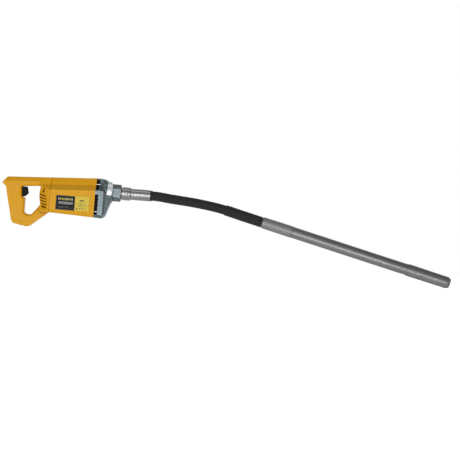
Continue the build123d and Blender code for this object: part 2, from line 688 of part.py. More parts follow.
# ---- all nodes ----------------------------------------------------------------------------------
def hose_nodes():
    split = between(HOSE_REAR_ROUTE[-1], HOSE_FRONT_ROUTE[0], SPLIT_AT)
    rear = HOSE_REAR_ROUTE + [split]
    front = [split] + HOSE_FRONT_ROUTE
    nodes = {}
    hose = hose_tube(rear, HOSE_R, HOSE_BORE_R, "hose_rear")
    nodes["hose_rear"] = hose + ring(333, FERRULE_END, HOSE_R, HOSE_BORE_R, SPINDLE_Z)
    liner = hose_tube(rear, LINER_R, LINER_BORE_R, "liner_rear")
    nodes["liner_rear"] = liner + ring(306, FERRULE_END, LINER_R, LINER_BORE_R, SPINDLE_Z)
    flex = hose_tube(rear, FLEX_R, 0, "flex_shaft_rear")
    nodes["flex_shaft_rear"] = flex + bar(277.5, FERRULE_END, FLEX_R, SPINDLE_Z)
    nodes["hose_front"] = hose_tube(front, HOSE_R, HOSE_BORE_R, "hose_front")
    nodes["hose_front"] += head_ring(0, 25.5, HOSE_R, HOSE_BORE_R)
    nodes["liner_front"] = hose_tube(front, LINER_R, LINER_BORE_R, "liner_front")
    nodes["liner_front"] += head_ring(0, 68, LINER_R, LINER_BORE_R)
    nodes["flex_shaft_front"] = hose_tube(front, FLEX_R, 0, "flex_shaft_front")
    nodes["flex_shaft_front"] += head_bar(0, 85, FLEX_R)
    guard_start = between(HOSE_FRONT_ROUTE[0], LAST_BEND, GUARD_START_AT)
    guard_end = between(LAST_BEND, HEAD_START, GUARD_END_AT)
    guard = [guard_start, LAST_BEND, guard_end]
    nodes["hose_guard"] = hose_tube(guard, GUARD_R, HOSE_R + GAP, "hose_guard")
    return nodes


def motor_leads():
    leads = []
    for side in (-1, 1):
        leads.append(wire([(-6, side * 4, 40.7), (-2, side * 4, 51), (20, side * 4, 57),
                           (60, side * 4, 58), (92, side * 4, 54.5), (110, side * 4.5, 54),
                           (113.5, side * 12, 45), (116, side * 23, 36), (119.5, side * 27.5, 28),
                           (121, side * 28, 20)], 1.3, "motor_lead"))
    return Compound(leads)


def label(x0, x1, z0, z1):
    return block((x0, x1), (-HOUSING_HALF_WIDTH - 0.7, -HOUSING_HALF_WIDTH), (z0, z1))


def trigger_spring():
    return ring(SPRING_SEAT + 0.1, 10.8, 4.4, 3.4, 24)


def lock_spring():
    x, z = LOCK_AT
    return across_y(10.4, 13.6, 3.2, x, z) - across_y(9, 15, 2.4, x, z)


def lock_button():
    x, z = LOCK_AT
    return across_y(13.8, 22.5, 4.3, x, z)


def build_nodes():
    right, left = handle_shells()
    holders, brushes, springs = brush_gear()
    nodes = {
        "handle_shell_right": right,
        "handle_shell_left": left,
        "handle_screws": Compound([screw_y(x, z) for x, z in HANDLE_SCREWS]),
        "housing_screws": housing_screws(),
        "switch_body": switch_body(),
        "cable_gland": cable_gland(),
        "cable_clamp": cable_clamp(),
        "motor_leads": motor_leads(),
        "trigger": trigger(),
        "trigger_spring": trigger_spring(),
        "lock_button": lock_button(),
        "lock_spring": lock_spring(),
        "motor_housing": motor_housing(),
        "rating_plate": label(117.5, 172.0, -19.5, 22),
        "info_plate": label(172.6, 212.8, -18.5, 23.4),
        "stator_core": stator_core(),
        "field_coils": field_coils(),
        "brush_holders": holders,
        "carbon_brushes": brushes,
        "brush_springs": springs,
        "armature_shaft": armature_shaft(),
        "armature_core": armature_core(),
        "armature_windings": armature_windings(),
        "commutator": commutator(),
        "cooling_fan": cooling_fan(),
        "pinion": gear(246, 261, PINION_TEETH, MOTOR_Z, 5 + FIT),
        "armature_rear_bearing": bearing(HANDLE_FRONT + 1.6, HANDLE_FRONT + 8.6, 11, 4, MOTOR_Z),
        "armature_front_bearing": bearing(236, 244, 14, 6, MOTOR_Z),
        "air_baffle": air_baffle(),
        "gear_casing": gear_casing(),
        "casing_gasket": casing_gasket(),
        "bearing_plate": bearing_plate(),
        "casing_screws": casing_screws(),
        "spindle_rear_bearing": bearing(237.6, 244.6, 11, 4, SPINDLE_Z),
        "spindle_front_bearing": bearing(262.4, 273.4, 17.5, 7.5, SPINDLE_Z),
        "spindle_seal": ring(273.6, 276.9, 14, 7.5, SPINDLE_Z),
        "output_spindle": output_spindle(),
        "spindle_gear": spindle_gear(),
        "spindle_key": spindle_key(),
        "union_nut": union_nut(),
        "hose_connector": hose_connector(),
        "adapter_body": adapter_body(),
        "hose_ferrule": hose_ferrule(),
        "head_sleeve": head_sleeve(),
        "head_tube": head_tube(),
        "head_o_ring": o_ring(),
        "head_tip": head_tip(),
        "head_rear_bearing": head_bearing(112, 124),
        "head_front_bearing": head_bearing(408, 420),
        "head_seal": head_ring(107, 111.5, 13.4, 5.0),
        "eccentric_rotor": eccentric_rotor(),
        "rotor_coupling": rotor_coupling(),
    }
    nodes.update(hose_nodes())
    return nodes


for name, shape in build_nodes().items():
    export_step(shape, f"parts/{name}.step")
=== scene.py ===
import json
import math

import bmesh
import bpy
from mathutils import Matrix, Vector


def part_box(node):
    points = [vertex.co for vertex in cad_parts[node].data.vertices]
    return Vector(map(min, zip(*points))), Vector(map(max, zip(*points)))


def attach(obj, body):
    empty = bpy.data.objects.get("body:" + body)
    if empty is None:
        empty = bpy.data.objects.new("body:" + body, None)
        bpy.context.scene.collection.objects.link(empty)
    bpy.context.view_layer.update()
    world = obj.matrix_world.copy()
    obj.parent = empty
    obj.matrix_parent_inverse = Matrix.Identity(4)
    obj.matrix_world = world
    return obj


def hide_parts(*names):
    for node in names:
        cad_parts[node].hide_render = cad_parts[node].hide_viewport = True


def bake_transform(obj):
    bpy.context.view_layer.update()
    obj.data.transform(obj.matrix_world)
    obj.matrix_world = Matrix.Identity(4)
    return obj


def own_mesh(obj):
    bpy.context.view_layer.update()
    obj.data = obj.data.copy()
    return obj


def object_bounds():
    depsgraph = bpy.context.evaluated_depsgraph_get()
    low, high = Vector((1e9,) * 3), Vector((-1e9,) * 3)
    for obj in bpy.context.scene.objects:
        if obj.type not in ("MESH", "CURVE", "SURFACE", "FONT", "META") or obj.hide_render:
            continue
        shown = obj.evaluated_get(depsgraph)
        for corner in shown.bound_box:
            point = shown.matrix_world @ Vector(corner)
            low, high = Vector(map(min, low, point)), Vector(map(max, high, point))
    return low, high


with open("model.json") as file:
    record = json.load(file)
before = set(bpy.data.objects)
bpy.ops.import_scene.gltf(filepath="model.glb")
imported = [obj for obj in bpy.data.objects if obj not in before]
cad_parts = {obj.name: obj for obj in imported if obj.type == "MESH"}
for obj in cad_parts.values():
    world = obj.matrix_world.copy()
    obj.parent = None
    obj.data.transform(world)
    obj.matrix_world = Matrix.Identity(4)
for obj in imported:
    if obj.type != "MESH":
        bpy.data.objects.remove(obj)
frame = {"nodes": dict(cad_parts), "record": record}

# Everything is in metres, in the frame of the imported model: +X runs from the grip to the vibrating
# head, +Z is up, and the side with the plates faces -Y.
NODES = frame["nodes"]
CAD_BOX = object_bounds()

# ---- route of the hose, as (X, Z) corners, in metres ---------------------------------------------
FERRULE_END = (0.385, 0.041525)
HOSE_SPLIT = (0.55022, 0.027551)
HEAD_START = (0.715, -0.0082)
REAR_ROUTE = [FERRULE_END, (0.407, 0.041525), (0.447, 0.0369), (0.512, 0.0325), HOSE_SPLIT]
FRONT_ROUTE = [HOSE_SPLIT, (0.590, 0.0224), (0.655636, 0.005833), HEAD_START]
REAR_HINGE_ZONE = (0.430, 0.550)      # X range of the rear span's hinge zone
FRONT_HINGE_ZONE = (0.5972, 0.7141)
HOSE_R = 0.0138
HOSE_BORE_R = 0.0085
GUARD_R = 0.0155
GUARD_SPAN = (0.6035, 0.7135)
HOSE_STEP = 0.0015                    # distance between the hose's rings
WOUND_STEP = 0.0012                   # distance between the liner's and the shaft's rings
LINER_PAST_HOSE = 0.068               # how far the front liner and shaft run into the head
SHAFT_PAST_HOSE = 0.085
LINER_R = 0.0076
LINER_BORE_R = 0.0054
FLEX_R = 0.0044


# ---- camera ---------------------------------------------------------------------------------------
VIEW_TARGET = Vector((0.6235, 0.0, -0.0378))
VIEW_WIDTH = 1.334
VIEW_ROLL = math.radians(4.8)
VIEW_LIFT = math.radians(1.0)
LENS = 150.0
SENSOR = 36.0


def add_camera():
    """A long lens that looks at the side with the plates, rolled by a few degrees."""
    data = bpy.data.cameras.new("camera")
    data.lens = LENS
    data.sensor_width = SENSOR
    data.clip_end = 100
    camera = bpy.data.objects.new("camera", data)
    bpy.context.scene.collection.objects.link(camera)
    distance = VIEW_WIDTH * LENS / SENSOR
    back = Vector((0, -math.cos(VIEW_LIFT), math.sin(VIEW_LIFT)))
    side = Vector((1, 0, 0))
    upward = back.cross(side)
    right = side * math.cos(VIEW_ROLL) + upward * math.sin(VIEW_ROLL)
    top = back.cross(right)
    camera.matrix_world = Matrix.Translation(VIEW_TARGET + back * distance) @ Matrix(
        (right, top, back)).transposed().to_4x4()
    bpy.context.scene.camera = camera


# ---- materials ------------------------------------------------------------------------------------
def rgb(red, green, blue):
    """A display colour from 0 to 255 as the linear colour that shaders take."""
    def linear(value):
        value /= 255
        return value / 12.92 if value <= 0.04045 else ((value + 0.055) / 1.055) ** 2.4
    return (linear(red), linear(green), linear(blue), 1.0)


class Finish:
    """One procedural material: its Principled shader and the nodes that feed it."""

    def __init__(self, name, **constants):
        self.material = bpy.data.materials.new(name)
        self.material.use_nodes = True
        self.tree = self.material.node_tree
        self.shader = self.tree.nodes["Principled BSDF"]
        for socket, value in constants.items():
            self.shader.inputs[socket.replace("_", " ")].default_value = value

    def add(self, kind, inputs, **properties):
        """A new node, with each input either linked to a socket or set to a constant."""
        node = self.tree.nodes.new(kind)
        for key, value in properties.items():
            setattr(node, key, value)
        for key, value in inputs.items():
            if isinstance(value, bpy.types.NodeSocket):
                self.tree.links.new(value, node.inputs[key])
            else:
                node.inputs[key].default_value = value
        return node

    def place(self, stretch=(1, 1, 1), source="Object"):
        """The piece's own coordinates, or its UV, scaled along each axis."""
        coordinates = self.add("ShaderNodeTexCoord", {}).outputs[source]
        return self.add("ShaderNodeMapping", {"Vector": coordinates, "Scale": stretch}).outputs[0]

    def noise(self, scale, detail=2.0, stretch=(1, 1, 1), source="Object"):
        vector = self.place(stretch, source)
        return self.add("ShaderNodeTexNoise", {"Vector": vector, "Scale": scale,
                                               "Detail": detail}).outputs["Fac"]

    def pits(self, scale, source="Object"):
        """Distance to the nearest of scattered points."""
        vector = self.place((1, 1, 1), source)
        return self.add("ShaderNodeTexVoronoi", {"Vector": vector, "Scale": scale}).outputs["Distance"]

    def waves(self, scale, stretch, distortion=0.0, source="Object"):
        vector = self.place(stretch, source)
        return self.add("ShaderNodeTexWave", {"Vector": vector, "Scale": scale, "Distortion": distortion},
                        bands_direction="X").outputs["Fac"]

    def spread(self, value, low, high, to_low, to_high):
        """The value's range from low to high carried over to another range, and held at its ends."""
        inputs = {"Value": value, "From Min": low, "From Max": high, "To Min": to_low, "To Max": to_high}
        return self.add("ShaderNodeMapRange", inputs).outputs[0]

    def drift(self, scale, low, high, detail=3, stretch=(1, 1, 1)):
        """A value that wanders between low and high over the surface."""
        return self.spread(self.noise(scale, detail, stretch), 0.3, 0.7, low, high)

    def mix(self, factor, first, second):
        return self.add("ShaderNodeMix", {0: factor, 6: first, 7: second}, data_type="RGBA").outputs[2]

    def times(self, first, second):
        return self.add("ShaderNodeMath", {0: first, 1: second}, operation="MULTIPLY").outputs[0]

    def plus(self, first, second):
        return self.add("ShaderNodeMath", {0: first, 1: second}, operation="ADD").outputs[0]

    def along(self, axis):
        """The piece's own coordinate along one axis."""
        return self.add("ShaderNodeSeparateXYZ", {0: self.place()}).outputs[axis]

    def corners(self, distance):
        """1 in open places and 0 in corners; the finishes mix it into their colour as painted shade."""
        return self.add("ShaderNodeAmbientOcclusion", {"Distance": distance}, samples=6).outputs["AO"]

    def edges(self, radius):
        """1 along sharp edges and 0 on broad faces."""
        rounded = self.add("ShaderNodeBevel", {"Radius": radius}, samples=4).outputs[0]
        facing = self.add("ShaderNodeNewGeometry", {}).outputs["Normal"]
        match = self.add("ShaderNodeVectorMath", {0: rounded, 1: facing}, operation="DOT_PRODUCT")
        return self.spread(match.outputs["Value"], 0.995, 0.93, 0.0, 1.0)

    def bump(self, height, distance, strength=1.0, under=None):
        inputs = {"Height": height, "Distance": distance, "Strength": strength}
        if under is not None:
            inputs["Normal"] = under
        return self.add("ShaderNodeBump", inputs).outputs[0]

    def apply(self, color=None, roughness=None, normal=None):
        for socket, value in (("Base Color", color), ("Roughness", roughness), ("Normal", normal)):
            if value is not None:
                self.tree.links.new(value, self.shader.inputs[socket])
        return self.material


def yellow_shell():
    """Moulded yellow plastic with a fine spark-eroded grain and painted shade that darkens its corners."""
    f = Finish("yellow_shell", IOR=1.5, Specular_IOR_Level=0.2)
    cloud = f.noise(9, 3)
    tone = f.mix(cloud, rgb(205, 147, 10), rgb(219, 158, 16))
    rub = f.spread(f.noise(70, 4), 0.62, 0.74, 0.0, 0.25)
    tone = f.mix(rub, tone, rgb(212, 160, 40))
    # painted shade: the occlusion mask darkens corners towards dark orange
    corner_shade = f.spread(f.corners(0.016), 0.25, 0.85, 1.0, 0.0)
    tone = f.mix(corner_shade, tone, rgb(140, 74, 4))
    grain = f.bump(f.noise(1500, 2), 0.00025, 0.28)
    grain = f.bump(f.noise(38, 2), 0.0012, 0.12, grain)
    shine = f.drift(26, 0.36, 0.5, 4)
    return f.apply(tone, shine, grain)


def black_plastic():
    """Moulded black plastic with paler rubbed edges."""
    f = Finish("black_plastic", IOR=1.48, Specular_IOR_Level=0.12)
    tone = f.mix(f.noise(60, 3), rgb(5, 4, 4), rgb(11, 9, 8))
    tone = f.mix(f.times(f.edges(0.0007), 0.4), tone, rgb(44, 43, 43))
    grain = f.bump(f.noise(1800, 2), 0.0002, 0.35)
    return f.apply(tone, f.drift(90, 0.4, 0.58), grain)


NOSE_HIGHLIGHT = (0.2618, 0.2772)          # X of the painted highlight on the casing's turned nose
NOSE_HIGHLIGHT_FADE = 0.0006
NOSE_HIGHLIGHT_FOOT = (0.032, 0.037)       # Z over which the painted highlight fades in


def cast_aluminium():
    """Sand-cast and tumbled aluminium, grey with a cool cast, bright on rubbed edges, with a painted
    highlight on the barrel's turned nose and painted shade in its corners."""
    f = Finish("cast_aluminium", Metallic=1.0)
    tone = f.mix(f.noise(14, 3), rgb(106, 118, 120), rgb(118, 130, 137))
    tone = f.mix(f.spread(f.noise(420, 3), 0.45, 0.7, 0.0, 0.55), tone, rgb(92, 100, 98))
    start, end = NOSE_HIGHLIGHT
    # painted highlight: the upper part of the turned nose is painted near-white
    nose_highlight = f.times(f.spread(f.along("X"), start, start + NOSE_HIGHLIGHT_FADE, 0.0, 1.0),
                   f.spread(f.along("X"), end - NOSE_HIGHLIGHT_FADE, end, 1.0, 0.0))
    nose_highlight = f.times(nose_highlight, f.spread(f.along("Z"), *NOSE_HIGHLIGHT_FOOT, 0.0, 0.95))
    tone = f.mix(nose_highlight, tone, rgb(238, 241, 242))
    tone = f.mix(f.times(f.edges(0.0009), 0.55), tone, rgb(178, 184, 188))
    # painted shade: the occlusion mask darkens corners
    corner_shade = f.spread(f.corners(0.008), 0.2, 0.8, 0.7, 0.0)
    tone = f.mix(corner_shade, tone, rgb(52, 58, 56))
    skin = f.bump(f.noise(620, 3), 0.0006, 0.26)
    skin = f.bump(f.pits(330), 0.0005, 0.1, skin)
    return f.apply(tone, f.drift(240, 0.3, 0.48), skin)


def turned_steel(name, dark, light, rough, lines=2600):
    """Metal turned about X, with fine rings of tool marks, thin smears, brighter edges and painted shade
    in its corners. rough is its lowest roughness and lines how closely the rings lie."""
    f = Finish(name, Metallic=1.0)
    rings = f.noise(lines, 2, (1, 0.02, 0.02))
    tone = f.mix(f.noise(34, 4, (0.3, 1, 1)), dark, light)
    tone = f.mix(f.spread(rings, 0.35, 0.65, 0.0, 0.3), tone, dark)
    tone = f.mix(f.times(f.edges(0.0006), 0.5), tone, rgb(205, 205, 206))
    # painted shade: the occlusion mask darkens corners
    corner_shade = f.spread(f.corners(0.005), 0.2, 0.75, 0.75, 0.0)
    tone = f.mix(corner_shade, tone, rgb(40, 38, 38))
    return f.apply(tone, f.drift(60, rough, rough + 0.1),
                   f.bump(rings, 0.0001, 0.35))


def head_steel():
    """Drawn and belt-polished tube: lengthwise grain, a few scuffs, a thin grey haze and painted
    shade in its corners.
    """
    f = Finish("head_steel", Metallic=1.0)
    grain = f.noise(900, 3, (0.03, 1, 1))
    tone = f.mix(f.noise(8, 4, (0.4, 1, 1)), rgb(128, 128, 129), rgb(148, 148, 149))
    tone = f.mix(f.spread(grain, 0.35, 0.7, 0.0, 0.35), tone, rgb(112, 112, 113))
    scuff = f.spread(f.noise(46, 6, (0.5, 1.6, 1.6)), 0.6, 0.72, 0.0, 0.45)
    tone = f.mix(scuff, tone, rgb(166, 165, 163))
    # painted shade: the occlusion mask darkens corners
    corner_shade = f.spread(f.corners(0.004), 0.2, 0.7, 0.8, 0.0)
    tone = f.mix(corner_shade, tone, rgb(46, 45, 44))
    shine = f.plus(f.drift(30, 0.36, 0.46, 4, (0.4, 1, 1)), f.times(scuff, 0.12))
    return f.apply(tone, shine, f.bump(grain, 0.00012, 0.4))


def sleeve_steel():
    """Matt blasted sleeve between hose and head."""
    f = Finish("sleeve_steel", Metallic=0.85)
    tone = f.mix(f.noise(30, 4), rgb(134, 134, 135), rgb(150, 150, 151))
    tone = f.mix(f.spread(f.noise(700, 2), 0.5, 0.7, 0.0, 0.4), tone, rgb(118, 118, 119))
    skin = f.bump(f.noise(1300, 2), 0.0004, 0.35)
    return f.apply(tone, f.drift(80, 0.5, 0.6), skin)


def black_rubber():
    """Wrapped rubber hose: the diagonal print of the curing cloth, chalky in its high spots.
    The tubes' UV runs round the hose in U and along it in V, both in turns."""
    f = Finish("black_rubber", IOR=1.52, Specular_IOR_Level=0.2)
    wraps = f.waves(1.0, (12, 7, 1), 0.6, "UV")
    cloth = f.waves(1.0, (-46, 52, 1), 0.3, "UV")
    chalk = f.spread(f.noise(5, 5, source="UV"), 0.35, 0.7, 0.0, 0.5)
    tone = f.mix(chalk, rgb(28, 28, 29), rgb(42, 42, 43))
    tone = f.mix(f.times(wraps, 0.35), tone, rgb(52, 52, 53))
    skin = f.bump(cloth, 0.0003, 0.45)
    skin = f.bump(wraps, 0.0005, 0.35, skin)
    skin = f.bump(f.noise(220, 3, source="UV"), 0.0003, 0.25, skin)
    return f.apply(tone, f.spread(chalk, 0.0, 0.5, 0.5, 0.66), skin)


def seal_rubber():
    """Plain dark rubber of the seals and the cable gland."""
    f = Finish("seal_rubber", IOR=1.5)
    tone = f.mix(f.noise(90, 3), rgb(24, 24, 25), rgb(38, 37, 36))
    return f.apply(tone, f.drift(300, 0.45, 0.62, 2), f.bump(f.noise(900, 2), 0.0003, 0.3))


def wound_steel():
    """Oiled spring steel of the liner, the flexible shaft and the springs, with painted shade in
    its corners.
    """
    f = Finish("liner_steel", Metallic=1.0)
    tone = f.mix(f.noise(160, 4), rgb(96, 95, 93), rgb(150, 149, 146))
    # painted shade: the occlusion mask darkens corners
    corner_shade = f.spread(f.corners(0.002), 0.3, 0.8, 0.8, 0.0)
    tone = f.mix(corner_shade, tone, rgb(34, 30, 24))
    return f.apply(tone, f.drift(90, 0.26, 0.42), f.bump(f.noise(1400, 2), 0.0001, 0.3))


def zinc_screws():
    """Bright zinc plating, with painted shade that darkens its recesses."""
    f = Finish("zinc_screws", Metallic=1.0)
    tone = f.mix(f.noise(260, 4), rgb(198, 202, 204), rgb(226, 228, 226))
    # painted shade: the occlusion mask darkens recesses
    tone = f.mix(f.spread(f.corners(0.002), 0.3, 0.8, 0.7, 0.0), tone, rgb(96, 96, 92))
    return f.apply(tone, f.drift(200, 0.22, 0.4), f.bump(f.noise(1200, 2), 0.0001, 0.3))


def black_oxide():
    """Blackened steel with a dull sheen."""
    f = Finish("black_oxide", Metallic=0.6)
    tone = f.mix(f.noise(220, 4), rgb(26, 26, 28), rgb(48, 48, 50))
    return f.apply(tone, f.drift(150, 0.4, 0.56), f.bump(f.noise(1100, 2), 0.0001, 0.3))


def rating_label():
    """Printed black foil with a fine brushed grain."""
    f = Finish("rating_label", IOR=1.5, Specular_IOR_Level=0.1)
    tone = f.mix(f.noise(120, 3, (0.2, 1, 1)), rgb(14, 15, 15), rgb(26, 27, 27))
    worn = f.spread(f.noise(85, 5), 0.62, 0.72, 0.0, 0.5)
    tone = f.mix(worn, tone, rgb(48, 48, 46))
    return f.apply(tone, f.drift(140, 0.3, 0.44),
                   f.bump(f.noise(900, 2, (0.1, 1, 1)), 0.0001, 0.3))


def info_label():
    """Printed yellow-green film with faint mottling."""
    f = Finish("info_label", IOR=1.5, Specular_IOR_Level=0.25)
    tone = f.mix(f.noise(210, 4), rgb(198, 170, 46), rgb(220, 193, 66))
    tone = f.mix(f.spread(f.noise(60, 4), 0.55, 0.72, 0.0, 0.6), tone, rgb(160, 152, 44))
    return f.apply(tone, f.drift(160, 0.34, 0.48), f.bump(f.noise(700, 2), 0.0001, 0.3))


def print_ink(name, color, metallic=0.0):
    """One printed colour, a little uneven and rubbed."""
    f = Finish(name, Metallic=metallic)
    rubbed = tuple(0.62 * channel for channel in color[:3]) + (1.0,)
    tone = f.mix(f.spread(f.noise(420, 4), 0.45, 0.68, 0.0, 0.7), color, rubbed)
    return f.apply(tone, f.drift(300, 0.3, 0.45), f.bump(f.noise(1600, 2), 0.0001, 0.3))


def laminations():
    """Stacked sheet steel: thin plates side by side along the motor's axis."""
    f = Finish("laminations", Metallic=0.9)
    plates = f.waves(1.0, (315, 0.001, 0.001))
    tone = f.mix(plates, rgb(70, 68, 66), rgb(122, 120, 117))
    tone = f.mix(f.spread(f.noise(60, 4), 0.58, 0.7, 0.0, 0.5), tone, rgb(112, 84, 58))
    return f.apply(tone, f.drift(110, 0.4, 0.56), f.bump(plates, 0.0002, 0.5))


def copper():
    """Varnished winding wire laid side by side."""
    f = Finish("copper", Metallic=0.9)
    strands = f.waves(1.0, (0.001, 160, 160), 0.8)
    tone = f.mix(strands, rgb(112, 48, 22), rgb(206, 112, 62))
    tone = f.mix(f.spread(f.noise(40, 3), 0.5, 0.7, 0.0, 0.4), tone, rgb(92, 34, 14))
    return f.apply(tone, f.drift(90, 0.24, 0.4), f.bump(strands, 0.0005, 0.7))


def brass():
    """Turned brass with faint lengthwise marks."""
    f = Finish("brass", Metallic=1.0)
    tone = f.mix(f.noise(90, 4), rgb(168, 132, 62), rgb(206, 172, 92))
    return f.apply(tone, f.drift(200, 0.26, 0.42),
                   f.bump(f.noise(1400, 2, (1, 0.1, 0.1)), 0.0001, 0.3))


def carbon():
    """Pressed carbon with fine pits."""
    f = Finish("carbon")
    tone = f.mix(f.noise(500, 4), rgb(30, 30, 31), rgb(58, 57, 58))
    return f.apply(tone, f.drift(200, 0.5, 0.72), f.bump(f.pits(900), 0.0003, 0.4))


def gasket_paper():
    """Fibrous brown gasket paper."""
    f = Finish("gasket_paper")
    tone = f.mix(f.noise(160, 5), rgb(112, 98, 76), rgb(142, 126, 98))
    return f.apply(tone, f.drift(90, 0.7, 0.85, 2), f.bump(f.noise(1100, 4), 0.0003, 0.5))


def lead_insulation():
    """Red insulation of the motor's leads."""
    f = Finish("lead_insulation", IOR=1.5)
    tone = f.mix(f.noise(120, 3), rgb(132, 28, 22), rgb(162, 42, 34))
    return f.apply(tone, f.drift(90, 0.38, 0.5, 2), f.bump(f.noise(800, 2), 0.0002, 0.3))


MATERIALS = {
    "yellow_shell": yellow_shell(),
    "black_plastic": black_plastic(),
    "cast_aluminium": cast_aluminium(),
    "machined_steel": turned_steel("machined_steel", rgb(142, 142, 143), rgb(166, 166, 167), 0.24),
    "bearing_steel": turned_steel("bearing_steel", rgb(150, 152, 156), rgb(190, 192, 196), 0.16, 4200),
    "zinc_screws": zinc_screws(),
    "black_oxide": black_oxide(),
    "head_steel": head_steel(),
    "sleeve_steel": sleeve_steel(),
    "black_rubber": black_rubber(),
    "seal_rubber": seal_rubber(),
    "liner_steel": wound_steel(),
    "rating_label": rating_label(),
    "info_label": info_label(),
    "laminations": laminations(),
    "copper": copper(),
    "brass": brass(),
    "carbon": carbon(),
    "gasket_paper": gasket_paper(),
    "lead_insulation": lead_insulation(),
}

FINE_EDGE = 0.0002
# Edge roundings of the carried-over parts, in metres, where they aren't FINE_EDGE.
EDGE_WIDTHS = {
    "handle_shell_right": 0.0007, "handle_shell_left": 0.0007, "motor_housing": 0.0008,
    "gear_casing": 0.0009, "union_nut": 0.0008, "adapter_body": 0.0004, "hose_ferrule": 0.0004,
    "head_sleeve": 0.0004, "head_tube": 0.0004, "head_tip": 0.0005, "trigger": 0.0012,
    "lock_button": 0.0008, "casing_screws": 0.0003, "handle_screws": 0.0003,
    "housing_screws": 0.0003, "cable_gland": 0.0005, "air_baffle": 0.0004,
}


def dress_frame_parts():
    """Gives each carried-over part its finish and rounds its sharp edges."""
    for part in frame["record"]["subparts"]:
        node = NODES[part["node"]]
        node.material_slots[0].material = MATERIALS[part["material_slot"]]
        node.data.attributes.remove(node.data.attributes["custom_normal"])
        node.data.polygons.foreach_set("use_smooth", [True] * len(node.data.polygons))
        weld = node.modifiers.new("weld", "WELD")
        weld.merge_threshold = 1e-6
        flatten = node.modifiers.new("flatten", "DECIMATE")
        flatten.decimate_type = "DISSOLVE"
        flatten.angle_limit = math.radians(0.5)
        edges = node.modifiers.new("edges", "BEVEL")
        edges.width = EDGE_WIDTHS.get(part["node"], FINE_EDGE)
        edges.segments = 2
        edges.limit_method = "ANGLE"
        edges.angle_limit = math.radians(32)
        edges.harden_normals = True
        edges.use_clamp_overlap = True


# ---- mesh helpers ---------------------------------------------------------------------------------
def new_piece(name, mesh, body, slot, material=None):
    """A smooth-shaded object that rides on a body, or on none when no body is given."""
    for polygon in mesh.polygons:
        polygon.use_smooth = True
    mesh.materials.append(material or MATERIALS[slot])
    piece = bpy.data.objects.new(name, mesh)
    bpy.context.scene.collection.objects.link(piece)
    if body is not None:
        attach(piece, body)
    return piece


def spline_points(route):
    """Points of the NURBS spline that has the route's corners as its control points."""
    curve = bpy.data.curves.new("route", "CURVE")
    curve.dimensions = "3D"
    curve.resolution_u = 40
    spline = curve.splines.new("NURBS")
    spline.points.add(len(route) - 1)
    for point, (x, z) in zip(spline.points, route):
        point.co = (x, 0, z, 1)
    spline.order_u = 3
    spline.use_endpoint_u = True
    holder = bpy.data.objects.new("route", curve)
    line = bpy.data.meshes.new_from_object(holder)
    points = [vertex.co.copy() for vertex in line.vertices]
    bpy.data.objects.remove(holder)
    bpy.data.curves.remove(curve)
    bpy.data.meshes.remove(line)
    return points


def evenly(points, step):
    """The same line with points at even distances, about a step apart."""
    lengths = [(b - a).length for a, b in zip(points, points[1:])]
    count = max(2, round(sum(lengths) / step))
    spacing = sum(lengths) / count
    out = [points[0].copy()]
    walked = 0.0
    for start, end, length in zip(points, points[1:], lengths):
        while len(out) < count and walked + length >= spacing * len(out):
            out.append(start.lerp(end, (spacing * len(out) - walked) / length))
        walked += length
    return out + [points[-1].copy()]


def tube_mesh(name, points, outer, inner=None, around=48):
    """A tube along points in the XZ plane. outer(distance, turn) is its radius, with turn from 0 to
    1; inner is its bore's radius. U counts turns round the tube, and V its length in the same unit."""
    mesh = bpy.data.meshes.new(name)
    work = bmesh.new()
    uv = work.loops.layers.uv.new("UVMap")
    across = Vector((0, 1, 0))
    distances = [0.0]
    for a, b in zip(points, points[1:]):
        distances.append(distances[-1] + (b - a).length)
    unit = 2 * math.pi * outer(distances[-1] / 2, 0.0)
    rings = []
    for i, point in enumerate(points):
        ahead = points[min(i + 1, len(points) - 1)] - points[max(i - 1, 0)]
        normal = across.cross(ahead.normalized())
        rings.append(([], []))
        for k in range(around):
            turn = k / around
            way = across * math.cos(2 * math.pi * turn) + normal * math.sin(2 * math.pi * turn)
            rings[-1][0].append(work.verts.new(point + way * outer(distances[i], turn)))
            if inner is not None:
                rings[-1][1].append(work.verts.new(point + way * inner))
    for i in range(len(points) - 1):
        for wall in (0, 1) if inner is not None else (0,):
            for k in range(around):
                after = (k + 1) % around
                corners = [(i, k), (i, k + 1), (i + 1, k + 1), (i + 1, k)]
                verts = [rings[i][wall][k], rings[i][wall][after],
                         rings[i + 1][wall][after], rings[i + 1][wall][k]]
                if wall == 1:
                    corners.reverse()
                    verts.reverse()
                face = work.faces.new(verts)
                for loop, (at, turned) in zip(face.loops, corners):
                    loop[uv].uv = (turned / around, distances[at] / unit)
    for end in (0, -1):
        if inner is None:
            work.faces.new(rings[end][0])
            continue
        for k in range(around):
            after = (k + 1) % around
            work.faces.new([rings[end][0][k], rings[end][0][after],
                            rings[end][1][after], rings[end][1][k]])
    bmesh.ops.recalc_face_normals(work, faces=work.faces)
    work.to_mesh(mesh)
    work.free()
    mesh.set_sharp_from_angle(angle=math.radians(50))
    return mesh


COIL_STEPS = 28                       # rings of the wire in each turn
COIL_SIDES = 8


